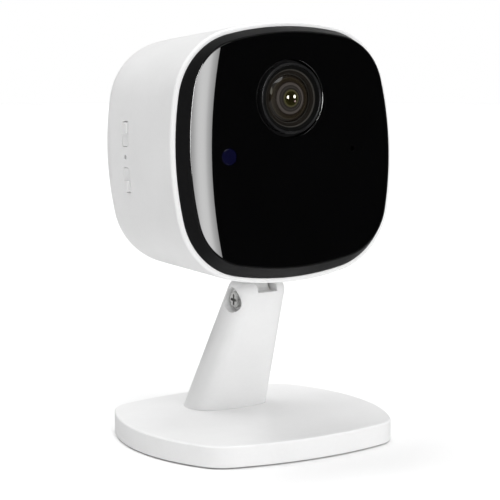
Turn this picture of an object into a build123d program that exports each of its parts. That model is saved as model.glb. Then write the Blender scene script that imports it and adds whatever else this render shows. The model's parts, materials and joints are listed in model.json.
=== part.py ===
from build123d import *
import math
import os

# Indoor security camera, in millimetres. A rounded square head with a glossy black front tilts on
# a leaning stem above a flat, weighted base. The origin is the centre of the base's underside, +Z is
# up, the lens looks along -Y, and the side buttons are on the -X flank. Places on the head are given
# in the head's own frame: x to the right, up along its face, and forward out of its face, with zero
# where the cover meets the rim. A depth is measured backwards from there.

# ---------------------------------------------------------------- driving dimensions
# Head
head_pitch = 4.2
head_centre = (0, -15.7, 75.25)
cover_half = 31.0
cover_side_radius = 79.0
cover_corner = 18.0
housing_half = 32.4
housing_depth = 45.8
housing_back_half = 29.3
housing_back_round = 11.5
rim_round = 0.8
wall = 2.0
cavity_overshoot = 1.0

# Front cover: bezel, panel and their gasket
bezel_seat = 2.4
bezel_skirt = 0.3
cover_height = 3.25
panel_half = 28.9
panel_corner = 14.0
panel_lift = 0.65
panel_thickness = 1.4
panel_land = 0.3
panel_edge_round = 0.2
panel_ledge = 2.4
gasket_thickness = 0.3
peg_reach = 27.8
peg_radius = 1.0

# Lens stack, centred above the middle of the face, its trim ring standing out of a wider hole
lens_up = 13.4
lens_hole = 9.6
trim_radius = 8.75
trim_bore = 8.1
trim_lift = 1.1
hood_radius = 8.05
barrel_radius = 7.0
barrel_front = 2.7
barrel_back = -12.4
mount_radius = 8.6
mount_front = -4.8
mount_base = 20.0
sensor_board_front = -15.0

# Light sensor on the left of the face, microphone on the right
sensor_reach = 17.95
window_radius = 2.15
window_round = 0.4
microphone_hole = 0.65

# Inner frame and boards
frame_front = -3.2
frame_back = -5.0
board_thickness = 1.0
board_corner = 1.5
boss_reach = 19.0
boss_radius = 2.9
main_board_front = -34.2
main_board_size = (50.0, 30.0)
post_reach = (21.5, 11.0)
post_radius = 2.2

# Side buttons, on the -X flank
button_depth = 26.5
button_up = 5.8
button_size = (3.3, 6.1)
pinhole_radius = 0.6
side_board_reach = 23.7
side_screw_up = 12.5

# Back: speaker and power socket
speaker_up = 7.5
speaker_radius = 9.0
speaker_back = -43.0
grille_radius = 0.65
grille_pitch = 2.2
grille_rings = 3
socket_up = -11.0
socket_size = (9.0, 3.3)
socket_wall = 0.35
socket_depth = 6.5

# Hinge
pivot = (0, -2.0, 36.6)
pivot_radius = 1.25
eye_radius = 3.6
tongue_width = 4.6
neck_depth = 4.8
bracket_up = -27.0
bracket_size = (22.0, 11.0, 2.0)
bracket_screw_reach = 8.5
washer_radius = 3.4
washer_thickness = 0.44

# Stem
stem_top = 41.3
stem_top_y = -3.3
stem_top_half = (6.85, 6.1)
stem_top_bulge = (1.5, 1.2)
stem_top_corner = 3.9
stem_foot_y = 13.55
stem_foot_half = (11.3, 6.8)
stem_foot_bulge = (1.8, 1.6)
stem_foot_corner = 4.6
stem_top_round = 2.3
stem_core = 7.5
stem_core_corner = 1.5
stem_core_height = 22.0
slot_width = 5.6
slot_lip = 38.9
slot_back = 36.0
screw_pocket_radius = 3.2
screw_pocket_floor = 5.3
nut_pocket_floor = 4.6

# Base
base_half = (34.0, 30.2)
base_bulge = (8.2, 4.0)
base_corner = 10.0
base_top = 5.8
base_rim_bottom = 0.35
base_top_round = 0.5
base_wall = 1.8
base_skin = 1.75
pad_inset = 2.6
pad_thickness = 0.9
weight_thickness = 1.8
base_screw_reach = (20.0, 17.0)
stem_screw_reach = 6.5

# Fits between pieces, on the radius or on one side
thread_fit = 0.03
running_fit = 0.06
loose_fit = 0.15

os.makedirs("parts", exist_ok=True)


# ---------------------------------------------------------------- shared outlines and pieces
def bulged_rectangle(half_x, half_y, bulge_x, bulge_y, corner):
    """Rectangle whose sides bow outwards as arcs and whose corners are rounded."""
    corner_x = half_x - bulge_x
    corner_y = half_y - bulge_y
    with BuildSketch() as outline:
        with BuildLine():
            ThreePointArc((-corner_x, -corner_y), (0, -half_y), (corner_x, -corner_y))
            ThreePointArc((corner_x, -corner_y), (half_x, 0), (corner_x, corner_y))
            ThreePointArc((corner_x, corner_y), (0, half_y), (-corner_x, corner_y))
            ThreePointArc((-corner_x, corner_y), (-half_x, 0), (-corner_x, -corner_y))
        make_face()
        fillet(outline.vertices(), radius=corner)
    return outline.sketch


def head_square(half, corner=None):
    """The head's outline at another half width, its sides parallel to those of the cover."""
    growth = half - cover_half
    radius = cover_side_radius + growth
    centre_gap = cover_side_radius - cover_half
    corner_point = (math.sqrt(2 * radius**2 - centre_gap**2) - centre_gap) / 2
    bulge = half - corner_point
    return bulged_rectangle(half, half, bulge, bulge, corner or cover_corner + growth)


def panel_square(growth):
    """The front panel's outline, grown on every side."""
    return head_square(panel_half + growth, panel_corner + growth)


def base_outline(inset):
    """The base's outline, moved inwards."""
    return bulged_rectangle(
        base_half[0] - inset,
        base_half[1] - inset,
        base_bulge[0],
        base_bulge[1],
        base_corner - inset,
    )


def ring(plane, outer, inner, depth):
    """Flat ring that stands on a plane."""
    with BuildPart() as band:
        with BuildSketch(plane):
            Circle(outer)
            Circle(inner, mode=Mode.SUBTRACT)
        extrude(amount=depth)
    return band.part


def block(plane, place, size, corner):
    """Plate with rounded corners that stands on a plane, centred on a place in it."""
    with BuildPart() as plate:
        with BuildSketch(plane):
            with Locations(place):
                RectangleRounded(size[0], size[1], corner)
        extrude(amount=size[2])
    return plate.part


def screw(seat, head_radius, head_height, shank_radius, shank_length):
    """Pan head screw with a cross recess: its head stands on the seat, its shank goes below it."""
    recess_width = head_radius * 0.3
    recess_reach = head_radius * 1.3
    recess_depth = head_height * 0.6
    head_round = head_height * 0.35
    with BuildPart() as fastener:
        with BuildSketch(seat):
            Circle(head_radius)
        extrude(amount=head_height)
        fillet(fastener.faces().sort_by(Axis(seat.origin, seat.z_dir))[-1].edges(), radius=head_round)
        with BuildSketch(seat):
            Circle(shank_radius)
        extrude(amount=-shank_length)
        with BuildSketch(seat.offset(head_height)):
            Rectangle(recess_reach, recess_width)
            Rectangle(recess_width, recess_reach)
        extrude(amount=-recess_depth, mode=Mode.SUBTRACT)
    return fastener.part


def screw_group(plane, places, head_radius, head_height, shank_radius, shank_length):
    """Identical screws whose heads rest on a plane, one at each place, as separate solids."""
    group = []
    for place in places:
        seat = Plane(plane.from_local_coords(Vector(*place)), x_dir=plane.x_dir, z_dir=plane.z_dir)
        group.append(screw(seat, head_radius, head_height, shank_radius, shank_length))
    return Compound(children=group)


def corners(reach_x, reach_y):
    """The four places at plus and minus each reach."""
    return [(x, y) for x in (-reach_x, reach_x) for y in (-reach_y, reach_y)]


def save(piece, name):
    """Label a finished piece and write its STEP file."""
    piece.label = name
    export_step(piece, f"parts/{name}.step")


# ---------------------------------------------------------------- planes
pitch = math.radians(head_pitch)
head = Plane(origin=head_centre, x_dir=(1, 0, 0), z_dir=(0, -math.cos(pitch), math.sin(pitch)))
head_back = Plane(origin=head.origin, x_dir=(1, 0, 0), z_dir=-head.z_dir)
head_floor = Plane(origin=head.origin, x_dir=(1, 0, 0), z_dir=head.y_dir)
flank = Plane(origin=head.origin, x_dir=head.z_dir, z_dir=(-1, 0, 0))
flank_inside = Plane(origin=head.origin, x_dir=head.z_dir, z_dir=(1, 0, 0))
lens = Plane(head.from_local_coords(Vector(0, lens_up, 0)), x_dir=(1, 0, 0), z_dir=head.z_dir)
lens_back = Plane(origin=lens.origin, x_dir=(1, 0, 0), z_dir=-head.z_dir)
face = Plane(head.from_local_coords(Vector(0, panel_lift, 0)), x_dir=(1, 0, 0), z_dir=head.z_dir)
hinge = Plane(origin=pivot, x_dir=(0, 1, 0), z_dir=(1, 0, 0))
head_axis = Axis(head.origin, head.z_dir)

pivot_in_head = head.to_local_coords(Vector(*pivot))
pivot_depth = -pivot_in_head.Z


def housing_half_at(depth):
    """Outer half width of the housing at a depth."""
    return housing_half + (housing_back_half - housing_half) * depth / housing_depth


# ---------------------------------------------------------------- rear housing
with BuildPart() as head_form:
    with BuildSketch(head):
        add(head_square(housing_half))
    with BuildSketch(head.offset(-housing_depth)):
        add(head_square(housing_back_half))
    loft(ruled=True)
    fillet(head_form.faces().sort_by(head_axis)[0].edges(), radius=housing_back_round)
    fillet(head_form.faces().sort_by(head_axis)[-1].edges(), radius=rim_round)

with BuildPart() as head_cavity:
    with BuildSketch(head.offset(cavity_overshoot)):
        add(head_square(housing_half_at(-cavity_overshoot) - wall))
    with BuildSketch(head.offset(wall - housing_depth)):
        add(head_square(housing_half_at(housing_depth - wall) - wall))
    loft(ruled=True)
    fillet(head_cavity.faces().sort_by(head_axis)[0].edges(), radius=housing_back_round - wall)

boss_length = housing_depth + frame_back
post_length = housing_depth + main_board_front - board_thickness
side_post_length = housing_half_at(button_depth) - wall - side_board_reach
bracket_post_length = housing_half_at(pivot_depth) - wall / 2 + bracket_up

with BuildPart() as housing_posts:
    with BuildSketch(head.offset(frame_back)):
        with Locations(*corners(boss_reach, boss_reach)):
            Circle(boss_radius)
    extrude(amount=-boss_length)
    with BuildSketch(head.offset(main_board_front - board_thickness)):
        with Locations(*corners(*post_reach)):
            Circle(post_radius)
    extrude(amount=-post_length)
    with BuildSketch(flank.offset(side_board_reach)):
        with Locations((-button_depth, -side_screw_up), (-button_depth, side_screw_up)):
            Circle(post_radius)
    extrude(amount=side_post_length)
    with BuildSketch(head_floor.offset(bracket_up)):
        with Locations((-bracket_screw_reach, pivot_depth), (bracket_screw_reach, pivot_depth)):
            Circle(post_radius)
    extrude(amount=-bracket_post_length)
    add(head_form.part, mode=Mode.INTERSECT)

pilot_radius = 0.85
boss_pilot_depth = 9.0
post_pilot_depth = 6.0
side_pilot_depth = 3.2
bracket_pilot_depth = 3.2
button_window = (button_size[0] + 2 * loose_fit, button_size[1] + 2 * loose_fit)
button_corner = 0.9
socket_gap = 0.25
socket_corner = 1.6
neck_gap = 0.5

with BuildPart() as rear_housing:
    add(head_form.part)
    add(head_cavity.part, mode=Mode.SUBTRACT)
    with BuildSketch(head):
        add(head_square(cover_half + loose_fit))
    extrude(amount=-bezel_seat, mode=Mode.SUBTRACT)
    add(housing_posts.part)
    with BuildSketch(head.offset(frame_back)):
        with Locations(*corners(boss_reach, boss_reach)):
            Circle(pilot_radius)
    extrude(amount=-boss_pilot_depth, mode=Mode.SUBTRACT)
    with BuildSketch(head.offset(main_board_front - board_thickness)):
        with Locations(*corners(*post_reach)):
            Circle(pilot_radius)
    extrude(amount=-post_pilot_depth, mode=Mode.SUBTRACT)
    with BuildSketch(flank.offset(side_board_reach)):
        with Locations((-button_depth, -side_screw_up), (-button_depth, side_screw_up)):
            Circle(pilot_radius)
    extrude(amount=side_pilot_depth, mode=Mode.SUBTRACT)
    with BuildSketch(head_floor.offset(bracket_up)):
        with Locations((-bracket_screw_reach, pivot_depth), (bracket_screw_reach, pivot_depth)):
            Circle(pilot_radius)
    extrude(amount=-bracket_pilot_depth, mode=Mode.SUBTRACT)
    # button windows and the pinhole between them
    with BuildSketch(flank.offset(side_board_reach)):
        with Locations((-button_depth, -button_up), (-button_depth, button_up)):
            RectangleRounded(*button_window, button_corner)
        with Locations((-button_depth, 0)):
            Circle(pinhole_radius)
    extrude(amount=housing_half, mode=Mode.SUBTRACT)
    # slot in the floor for the hinge neck
    with BuildSketch(head_floor.offset(bracket_up)):
        with Locations((0, pivot_depth)):
            Rectangle(tongue_width + 2 * neck_gap, neck_depth + 2 * neck_gap)
    extrude(amount=-housing_half, mode=Mode.SUBTRACT)
    # speaker grille and the opening for the power socket
    with BuildSketch(head_back.offset(housing_depth - 2 * wall)):
        with Locations((0, -speaker_up)):
            Circle(grille_radius)
            for grille_ring in range(1, grille_rings + 1):
                with PolarLocations(grille_ring * grille_pitch, 6 * grille_ring):
                    Circle(grille_radius)
        with Locations((0, -socket_up)):
            RectangleRounded(
                socket_size[0] + 2 * socket_gap, socket_size[1] + 2 * socket_gap, socket_corner
            )
    extrude(amount=3 * wall, mode=Mode.SUBTRACT)
save(rear_housing.part, "rear_housing")

# ---------------------------------------------------------------- front cover
panel_back = cover_height - panel_thickness
ledge_front = panel_back - gasket_thickness
peg_places = [(0, -peg_reach), (0, peg_reach), (-peg_reach, 0), (peg_reach, 0)]

with BuildPart() as front_bezel:
    with BuildSketch(head.offset(-bezel_seat)):
        add(head_square(cover_half))
    extrude(amount=bezel_seat + bezel_skirt)
    with BuildSketch(head.offset(bezel_skirt)):
        add(head_square(cover_half))
    with BuildSketch(face.offset(cover_height)):
        add(panel_square(panel_land))
    loft(ruled=True)
    with BuildSketch(face.offset(ledge_front)):
        add(panel_square(running_fit))
    extrude(amount=cover_height, mode=Mode.SUBTRACT)
    with BuildSketch(face.offset(-bezel_seat)):
        add(panel_square(-panel_ledge))
    extrude(amount=bezel_seat + cover_height, mode=Mode.SUBTRACT)
    with BuildSketch(head.offset(-bezel_seat)):
        with Locations(*peg_places):
            Circle(peg_radius)
    extrude(amount=frame_back + bezel_seat)
save(front_bezel.part, "front_bezel")

with BuildPart() as front_panel:
    with BuildSketch(face.offset(panel_back)):
        add(panel_square(0))
    extrude(amount=panel_thickness)
    with BuildSketch(head.offset(panel_back)):
        with Locations((0, lens_up)):
            Circle(lens_hole)
        with Locations((-sensor_reach, 0)):
            Circle(window_radius + running_fit)
        with Locations((sensor_reach, 0)):
            Circle(microphone_hole)
    extrude(amount=panel_thickness, mode=Mode.SUBTRACT)
    panel_front = front_panel.faces().sort_by(head_axis)[-1]
    lens_hole_rim = panel_front.inner_wires().sort_by(SortBy.LENGTH)[-1]
    fillet(panel_front.outer_wire().edges() + lens_hole_rim.edges(), radius=panel_edge_round)
save(front_panel.part, "front_panel")

with BuildPart() as panel_gasket:
    with BuildSketch(face.offset(ledge_front)):
        add(panel_square(-running_fit))
        add(panel_square(-panel_ledge), mode=Mode.SUBTRACT)
    extrude(amount=gasket_thickness)
save(panel_gasket.part, "panel_gasket")

# ---------------------------------------------------------------- lens stack
trim_flange = 10.6
trim_back = 0.35
trim_round = 0.2

with BuildPart() as lens_ring:
    with BuildSketch(lens.offset(trim_back)):
        Circle(trim_flange)
        Circle(trim_bore, mode=Mode.SUBTRACT)
    extrude(amount=panel_back - trim_back)
    with BuildSketch(lens.offset(panel_back)):
        Circle(trim_radius)
        Circle(trim_bore, mode=Mode.SUBTRACT)
    extrude(amount=panel_thickness + trim_lift)
    fillet(lens_ring.faces().sort_by(head_axis)[-1].edges(), radius=trim_round)
save(lens_ring.part, "lens_ring")

# Stepped funnel round the glass: each step is (radius, forward)
hood_steps = [(7.75, 4.1), (7.4, 3.6), (7.1, 3.55), (6.85, 3.2), (6.35, 3.15), (6.1, 2.95)]
lens_section = Plane(origin=lens.origin, x_dir=(1, 0, 0), z_dir=-head.y_dir)
lens_axis = Axis(lens.origin, lens.z_dir)

with BuildPart() as lens_hood:
    with BuildSketch(lens_section):
        with BuildLine():
            Polyline(
                (hood_steps[-1][0], barrel_front + running_fit),
                (hood_radius, barrel_front + running_fit),
                (hood_radius, hood_steps[0][1]),
                *hood_steps,
                close=True,
            )
        make_face()
    revolve(axis=lens_axis)
save(lens_hood.part, "lens_hood")

# Bores of the barrel, from the front: (radius, back end)
front_bore = (5.9, 0.4)
middle_bore = (4.3, -3.6)
rear_bore = (3.3, -7.6)
exit_bore = 2.6
spacer_bore = 3.1
# Curved faces of the glasses, forward: (back edge, back middle, front edge, front middle)
front_lens_faces = (0.5, 1.3, 2.5, 4.0)
middle_lens_faces = (-3.0, -3.5, -1.7, -1.2)
rear_lens_faces = (-6.8, -7.5, -5.2, -4.5)

with BuildPart() as lens_barrel:
    with BuildSketch(lens.offset(barrel_back)):
        Circle(barrel_radius)
        Circle(exit_bore, mode=Mode.SUBTRACT)
    extrude(amount=barrel_front - barrel_back)
    for bore_radius, bore_end in (front_bore, middle_bore, rear_bore):
        with BuildSketch(lens.offset(bore_end)):
            Circle(bore_radius)
        extrude(amount=barrel_front - bore_end, mode=Mode.SUBTRACT)
save(lens_barrel.part, "lens_barrel")


def lens_glass(radius, back_edge, back_middle, front_edge, front_middle):
    """Round glass with two spherical faces, each given by its edge and its middle, forward."""

    def on_sphere(edge, middle):
        """Point of the spherical face at half the glass's radius."""
        rise = middle - edge
        sphere = (radius**2 + rise**2) / (2 * abs(rise))
        drop = sphere - math.sqrt(sphere**2 - (radius / 2) ** 2)
        return (radius / 2, middle - math.copysign(drop, rise))

    with BuildPart() as glass:
        with BuildSketch(lens_section):
            with BuildLine():
                ThreePointArc((0, back_middle), on_sphere(back_edge, back_middle), (radius, back_edge))
                Line((radius, back_edge), (radius, front_edge))
                ThreePointArc((radius, front_edge), on_sphere(front_edge, front_middle), (0, front_middle))
                Line((0, front_middle), (0, back_middle))
            make_face()
        revolve(axis=lens_axis)
    return glass.part


front_lens = lens_glass(front_bore[0] - running_fit, *front_lens_faces)
save(front_lens, "front_lens")

spacer_length = 1.5
spacer_back = front_bore[1] - spacer_length
spacer_outer = middle_bore[0] - running_fit
lens_spacer = ring(lens.offset(spacer_back), spacer_outer, spacer_bore, spacer_length - running_fit)
save(lens_spacer, "lens_spacer")

middle_lens = lens_glass(middle_bore[0] - running_fit, *middle_lens_faces)
save(middle_lens, "middle_lens")

rear_lens = lens_glass(rear_bore[0] - running_fit, *rear_lens_faces)
save(rear_lens, "rear_lens")

mount_base_thickness = 1.8
filter_seat = -13.0
filter_thickness = 0.5
filter_size = 7.4
filter_window = 6.2
sensor_cavity = 11.0
sensor_cavity_depth = 1.4
image_sensor_size = (8.6, 7.4, 1.0)
chip_corner = 0.3

with BuildPart() as lens_mount:
    with BuildSketch(lens.offset(sensor_board_front)):
        RectangleRounded(mount_base, mount_base, board_corner)
    extrude(amount=mount_base_thickness)
    with BuildSketch(lens.offset(sensor_board_front)):
        Circle(mount_radius)
    extrude(amount=mount_front - sensor_board_front)
    with BuildSketch(lens.offset(filter_seat)):
        Circle(barrel_radius + running_fit)
    extrude(amount=mount_front - filter_seat, mode=Mode.SUBTRACT)
    with BuildSketch(lens.offset(sensor_board_front)):
        Rectangle(sensor_cavity, sensor_cavity)
    extrude(amount=sensor_cavity_depth, mode=Mode.SUBTRACT)
    with BuildSketch(lens.offset(sensor_board_front)):
        Rectangle(filter_window, filter_window)
    extrude(amount=filter_seat - sensor_board_front, mode=Mode.SUBTRACT)
save(lens_mount.part, "lens_mount")

infrared_filter = block(
    lens.offset(filter_seat), (0, 0), (filter_size, filter_size, filter_thickness), chip_corner
)
save(infrared_filter, "infrared_filter")

image_sensor = block(lens.offset(sensor_board_front), (0, 0), image_sensor_size, chip_corner)
save(image_sensor, "image_sensor")

sensor_board_size = (30.0, 22.0)
sensor_screw_reach = 12.5
sensor_post_radius = 2.0

with BuildPart() as sensor_board:
    with BuildSketch(lens.offset(sensor_board_front)):
        RectangleRounded(*sensor_board_size, board_corner)
        with Locations((-sensor_screw_reach, 0), (sensor_screw_reach, 0)):
            Circle(pilot_radius + loose_fit, mode=Mode.SUBTRACT)
    extrude(amount=-board_thickness)
save(sensor_board.part, "sensor_board")

sensor_board_screws = screw_group(
    lens_back.offset(board_thickness - sensor_board_front),
    [(-sensor_screw_reach, 0, 0), (sensor_screw_reach, 0, 0)],
    head_radius=1.7,
    head_height=1.0,
    shank_radius=pilot_radius - thread_fit,
    shank_length=5.0,
)
save(sensor_board_screws, "sensor_board_screws")

# ---------------------------------------------------------------- inner frame and front board
frame_half = 29.6
frame_screw_shank = 7.5
front_board_size = (46.0, 30.0)
front_screw_place = (20.0, 8.0)
front_board_front = frame_front + board_thickness
infrared_place = (9.5, -9.0)

with BuildPart() as inner_frame:
    with BuildSketch(head.offset(frame_back)):
        add(head_square(frame_half))
        with Locations((0, lens_up)):
            Circle(mount_radius + loose_fit, mode=Mode.SUBTRACT)
        with Locations(*corners(boss_reach, boss_reach)):
            Circle(pilot_radius + loose_fit, mode=Mode.SUBTRACT)
        with Locations(*peg_places):
            Circle(peg_radius + running_fit, mode=Mode.SUBTRACT)
        with Locations((-front_screw_place[0], front_screw_place[1]), front_screw_place):
            Circle(pilot_radius, mode=Mode.SUBTRACT)
    extrude(amount=frame_front - frame_back)
    with BuildSketch(lens.offset(frame_back)):
        with Locations((-sensor_screw_reach, 0), (sensor_screw_reach, 0)):
            Circle(sensor_post_radius)
            Circle(pilot_radius, mode=Mode.SUBTRACT)
    extrude(amount=sensor_board_front - frame_back)
save(inner_frame.part, "inner_frame")

frame_screws = screw_group(
    head.offset(frame_front),
    [(*place, 0) for place in corners(boss_reach, boss_reach)],
    head_radius=1.9,
    head_height=1.2,
    shank_radius=pilot_radius - thread_fit,
    shank_length=frame_screw_shank,
)
save(frame_screws, "frame_screws")

with BuildPart() as front_board:
    with BuildSketch(head.offset(frame_front)):
        RectangleRounded(*front_board_size, board_corner)
        with Locations((0, lens_up)):
            Circle(trim_flange + loose_fit, mode=Mode.SUBTRACT)
        with Locations((-front_screw_place[0], front_screw_place[1]), front_screw_place):
            Circle(pilot_radius + loose_fit, mode=Mode.SUBTRACT)
    extrude(amount=board_thickness)
save(front_board.part, "front_board")

front_board_screws = screw_group(
    head.offset(front_board_front),
    [(-front_screw_place[0], front_screw_place[1], 0), (*front_screw_place, 0)],
    head_radius=1.6,
    head_height=0.9,
    shank_radius=pilot_radius - thread_fit,
    shank_length=2.6,
)
save(front_board_screws, "front_board_screws")


def infrared_led(place):
    """Round infrared emitter with a domed top, standing on the front board."""
    led_radius = 1.5
    collar_radius = 1.8
    collar_height = 0.6
    led_height = 2.6
    with BuildPart() as led:
        with BuildSketch(head.offset(front_board_front)):
            with Locations(place):
                Circle(collar_radius)
        extrude(amount=collar_height)
        with BuildSketch(head.offset(front_board_front)):
            with Locations(place):
                Circle(led_radius)
        extrude(amount=led_height)
        fillet(led.faces().sort_by(head_axis)[-1].edges(), radius=led_radius * 0.8)
    return led.part


save(infrared_led((-infrared_place[0], infrared_place[1])), "infrared_led_left")
save(infrared_led(infrared_place), "infrared_led_right")

window_flange = 2.9
window_back = 0.6
light_sensor_size = (2.6, 2.6, 0.9)

with BuildPart() as sensor_window:
    with BuildSketch(head.offset(window_back)):
        with Locations((-sensor_reach, 0)):
            Circle(window_flange)
    extrude(amount=panel_back - window_back)
    with BuildSketch(head.offset(panel_back)):
        with Locations((-sensor_reach, 0)):
            Circle(window_radius)
    extrude(amount=panel_thickness)
    fillet(sensor_window.faces().sort_by(head_axis)[-1].edges(), radius=window_round)
save(sensor_window.part, "sensor_window")

light_sensor = block(head.offset(front_board_front), (-sensor_reach, 0), light_sensor_size, chip_corner)
save(light_sensor, "light_sensor")

microphone_radius = 2.0
microphone_height = 1.1
microphone_plane = Plane(
    head.from_local_coords(Vector(sensor_reach, 0, front_board_front)),
    x_dir=(1, 0, 0),
    z_dir=head.z_dir,
)
with BuildPart() as microphone:
    with BuildSketch(microphone_plane):
        Circle(microphone_radius)
    extrude(amount=microphone_height)
save(microphone.part, "microphone")

microphone_boot = ring(
    microphone_plane.offset(microphone_height),
    microphone_radius,
    microphone_hole,
    panel_back - front_board_front - microphone_height,
)
save(microphone_boot, "microphone_boot")

# ---------------------------------------------------------------- main board
processor_size = (12.0, 12.0, 1.3)
processor_up = 2.0
pad_height = 0.6
spreader_size = (33.0, 25.0, 1.5)
fin_count = 7
fin_thickness = 1.2
fin_height = 4.5
board_screw_shank = 5.5
radio_shield_place = (12.5, 5.0)
radio_shield_size = (10.0, 8.0, 2.2)
shield_corner = 0.6
antenna_up = 27.7
antenna_depth = 17.5
antenna_size = (18.0, 9.0, 0.6)

with BuildPart() as main_board:
    with BuildSketch(head.offset(main_board_front)):
        RectangleRounded(*main_board_size, board_corner)
        with Locations(*corners(*post_reach)):
            Circle(pilot_radius + loose_fit, mode=Mode.SUBTRACT)
    extrude(amount=-board_thickness)
save(main_board.part, "main_board")

main_board_screws = screw_group(
    head.offset(main_board_front),
    [(*place, 0) for place in corners(*post_reach)],
    head_radius=1.9,
    head_height=1.2,
    shank_radius=pilot_radius - thread_fit,
    shank_length=board_screw_shank,
)
save(main_board_screws, "main_board_screws")

processor = block(head.offset(main_board_front), (0, processor_up), processor_size, chip_corner)
save(processor, "processor")

thermal_pad = block(
    head.offset(main_board_front + processor_size[2]),
    (0, processor_up),
    (processor_size[0], processor_size[1], pad_height),
    chip_corner,
)
save(thermal_pad, "thermal_pad")

spreader_back = main_board_front + processor_size[2] + pad_height
fin_pitch = (spreader_size[0] - fin_thickness) / (fin_count - 1)
with BuildPart() as heat_spreader:
    with BuildSketch(head.offset(spreader_back)):
        with Locations((0, processor_up)):
            Rectangle(spreader_size[0], spreader_size[1])
    extrude(amount=spreader_size[2])
    with BuildSketch(head.offset(spreader_back + spreader_size[2])):
        with Locations((0, processor_up)):
            with GridLocations(fin_pitch, 0, fin_count, 1):
                Rectangle(fin_thickness, spreader_size[1])
    extrude(amount=fin_height)
save(heat_spreader.part, "heat_spreader")

radio_shield = block(
    head_back.offset(board_thickness - main_board_front),
    radio_shield_place,
    radio_shield_size,
    shield_corner,
)
save(radio_shield, "radio_shield")

antenna = block(head_floor.offset(antenna_up), (0, antenna_depth), antenna_size, shield_corner)
save(antenna, "antenna")

# Upright power socket on the back of the main board, its mouth just inside the housing's opening
socket_back = housing_depth - 0.4
socket_foot = board_thickness - main_board_front
socket_tongue = (6.6, 0.7)
with BuildPart() as power_socket:
    with BuildSketch(head_back.offset(socket_foot)):
        with Locations((0, -socket_up)):
            RectangleRounded(*socket_size, socket_size[1] / 2 - socket_wall / 2)
    extrude(amount=socket_back - socket_foot)
    with BuildSketch(head_back.offset(socket_back)):
        with Locations((0, -socket_up)):
            RectangleRounded(
                socket_size[0] - 2 * socket_wall,
                socket_size[1] - 2 * socket_wall,
                socket_size[1] / 2 - 1.3 * socket_wall,
            )
            Rectangle(*socket_tongue, mode=Mode.SUBTRACT)
    extrude(amount=-socket_depth, mode=Mode.SUBTRACT)
save(power_socket.part, "power_socket")

# ---------------------------------------------------------------- speaker
speaker_plane = Plane(
    head.from_local_coords(Vector(0, speaker_up, speaker_back)), x_dir=(1, 0, 0), z_dir=-head.z_dir
)
speaker_depth = 6.0
speaker_rim = 1.2
magnet_radius = 6.0
speaker_gasket_width = 1.2

with BuildPart() as speaker:
    with BuildSketch(speaker_plane):
        Circle(speaker_radius)
    extrude(amount=-speaker_depth / 2)
    with BuildSketch(speaker_plane):
        Circle(magnet_radius)
    extrude(amount=-speaker_depth)
    with BuildSketch(speaker_plane):
        Circle(speaker_radius - speaker_rim)
    extrude(amount=-speaker_rim, taper=45, mode=Mode.SUBTRACT)
save(speaker.part, "speaker")

speaker_gasket = ring(
    speaker_plane,
    speaker_radius,
    speaker_radius - speaker_gasket_width,
    housing_depth - wall + speaker_back,
)
save(speaker_gasket, "speaker_gasket")

# ---------------------------------------------------------------- side buttons and their switches
side_board_size = (12.0, 30.0)
switch_size = 4.4
switch_height = 1.6
switch_radius = 0.9
switch_corner = 0.4
plunger_length = 1.4
plunger_inner = side_board_reach + 0.8
plunger_outer = plunger_inner + plunger_length
nub_radius = 1.2
nub_length = 0.8
flange_size = (5.0, 7.2)
flange_thickness = 0.8
flange_inner = plunger_outer + nub_length
button_pad_size = (2.3, 2.6)
button_pad_corner = 0.5
button_pad_lift = 0.35
button_pad_shift = 1.45

with BuildPart() as side_board:
    with BuildSketch(flank.offset(side_board_reach - board_thickness)):
        with Locations((-button_depth, 0)):
            RectangleRounded(*side_board_size, board_corner)
        with Locations((-button_depth, -side_screw_up), (-button_depth, side_screw_up)):
            Circle(pilot_radius + loose_fit, mode=Mode.SUBTRACT)
    extrude(amount=board_thickness)
save(side_board.part, "side_board")

side_board_screws = screw_group(
    flank_inside.offset(board_thickness - side_board_reach),
    [(-button_depth, -side_screw_up, 0), (-button_depth, side_screw_up, 0)],
    head_radius=1.6,
    head_height=0.9,
    shank_radius=pilot_radius - thread_fit,
    shank_length=3.6,
)
save(side_board_screws, "side_board_screws")


def push_switch(up):
    """Square push switch on the side board, with the bore its plunger slides in."""
    with BuildPart() as switch:
        with BuildSketch(flank.offset(side_board_reach)):
            with Locations((-button_depth, up)):
                RectangleRounded(switch_size, switch_size, switch_corner)
        extrude(amount=switch_height)
        with BuildSketch(flank.offset(side_board_reach + board_thickness / 4)):
            with Locations((-button_depth, up)):
                Circle(switch_radius + running_fit)
        extrude(amount=switch_height, mode=Mode.SUBTRACT)
    return switch.part


def plunger(up):
    """Round plunger of a push switch, at rest."""
    with BuildPart() as pin:
        with BuildSketch(flank.offset(plunger_inner)):
            with Locations((-button_depth, up)):
                Circle(switch_radius)
        extrude(amount=plunger_length)
    return pin.part


def side_button(side):
    """Button flush with the flank, with a raised pad at its outer end; side is 1 up or -1 down."""
    up = side * button_up
    pad_up = up + side * button_pad_shift
    pad_base = housing_half_at(button_depth) - 2 * button_pad_lift
    with BuildPart() as button:
        with BuildSketch(flank.offset(flange_inner)):
            with Locations((-button_depth, up)):
                RectangleRounded(*button_size, button_corner - loose_fit)
        extrude(amount=housing_half)
        add(head_form.part, mode=Mode.INTERSECT)
        with BuildSketch(flank.offset(pad_base)):
            with Locations((-button_depth, pad_up)):
                RectangleRounded(*button_pad_size, button_pad_corner)
        extrude(amount=3 * button_pad_lift)
        with BuildSketch(flank.offset(flange_inner)):
            with Locations((-button_depth, up)):
                RectangleRounded(*flange_size, button_corner)
        extrude(amount=flange_thickness)
        with BuildSketch(flank.offset(plunger_outer)):
            with Locations((-button_depth, up)):
                Circle(nub_radius)
        extrude(amount=nub_length)
    return button.part


for name, up in (("upper", button_up), ("lower", -button_up), ("reset", 0)):
    save(push_switch(up), f"{name}_switch")
    save(plunger(up), f"{name}_plunger")
save(side_button(1), "upper_button")
save(side_button(-1), "lower_button")

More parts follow.
